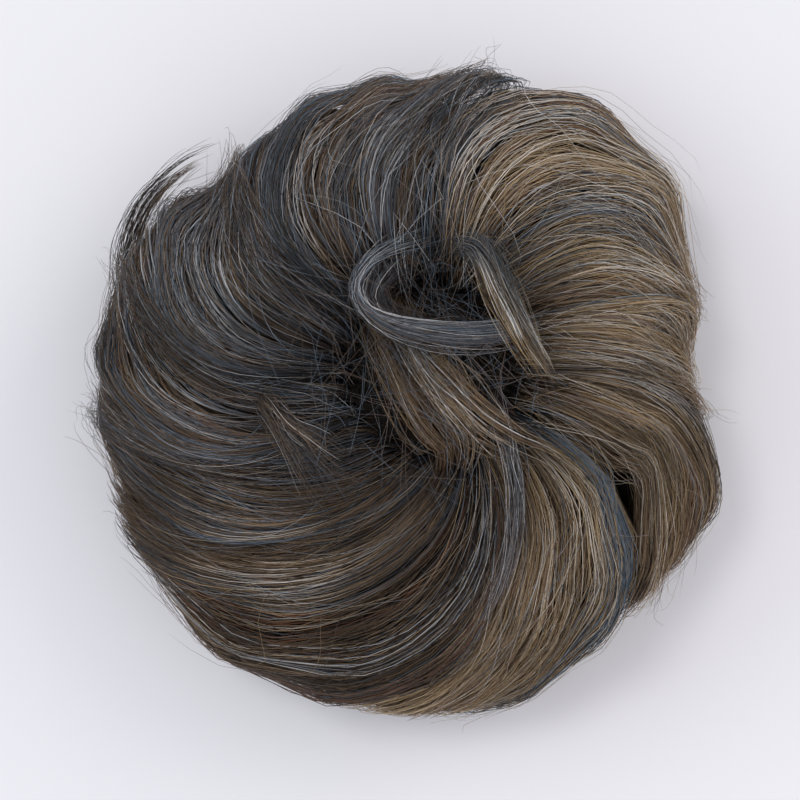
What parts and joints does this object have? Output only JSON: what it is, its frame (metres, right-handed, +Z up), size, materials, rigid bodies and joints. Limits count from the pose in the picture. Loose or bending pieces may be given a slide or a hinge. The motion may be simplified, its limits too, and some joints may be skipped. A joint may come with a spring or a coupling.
{
  "type": "top knot hairpiece",
  "caption": "Messy bun hairpiece: curls of false hair sweep round an elastic ring, with loose locks across the dark middle and a hollow underneath for the wearer's own hair.",
  "frame": {"origin": "middle of the bounding box, on the surface that the hairpiece lies on", "axes": "+Z up, away from the head when worn; +Y is the picture's up and the longer way across; +X is the picture's right"},
  "size_m": [0.1489, 0.1544, 0.062],
  "materials": {
    "hair_warm": "satin synthetic fibre, warm taupe with gold lights",
    "hair_cool": "satin synthetic fibre, umber with slate lights",
    "hair_silver": "satin synthetic fibre, blue grey",
    "hair_gold": "satin synthetic fibre, golden tip",
    "hair_dark": "satin synthetic fibre, near black in the depth",
    "elastic": "braided covered elastic, matt"
  },
  "bodies": {
    "root": {"elastic_band": "elastic", "curl_top_right": "hair_warm", "curl_right": "hair_warm", "curl_lower_right_outer": "hair_warm", "curl_lower_right": "hair_warm", "curl_bottom": "hair_cool", "curl_lower_left": "hair_cool", "curl_left_lower": "hair_cool", "curl_left_upper": "hair_cool", "curl_top_left": "hair_cool", "core_tangle": "hair_dark", "loop_lock": "hair_silver", "tip_lock": "hair_gold", "falling_lock": "hair_warm", "vertical_lock": "hair_silver"}
  },
  "joints": []
}
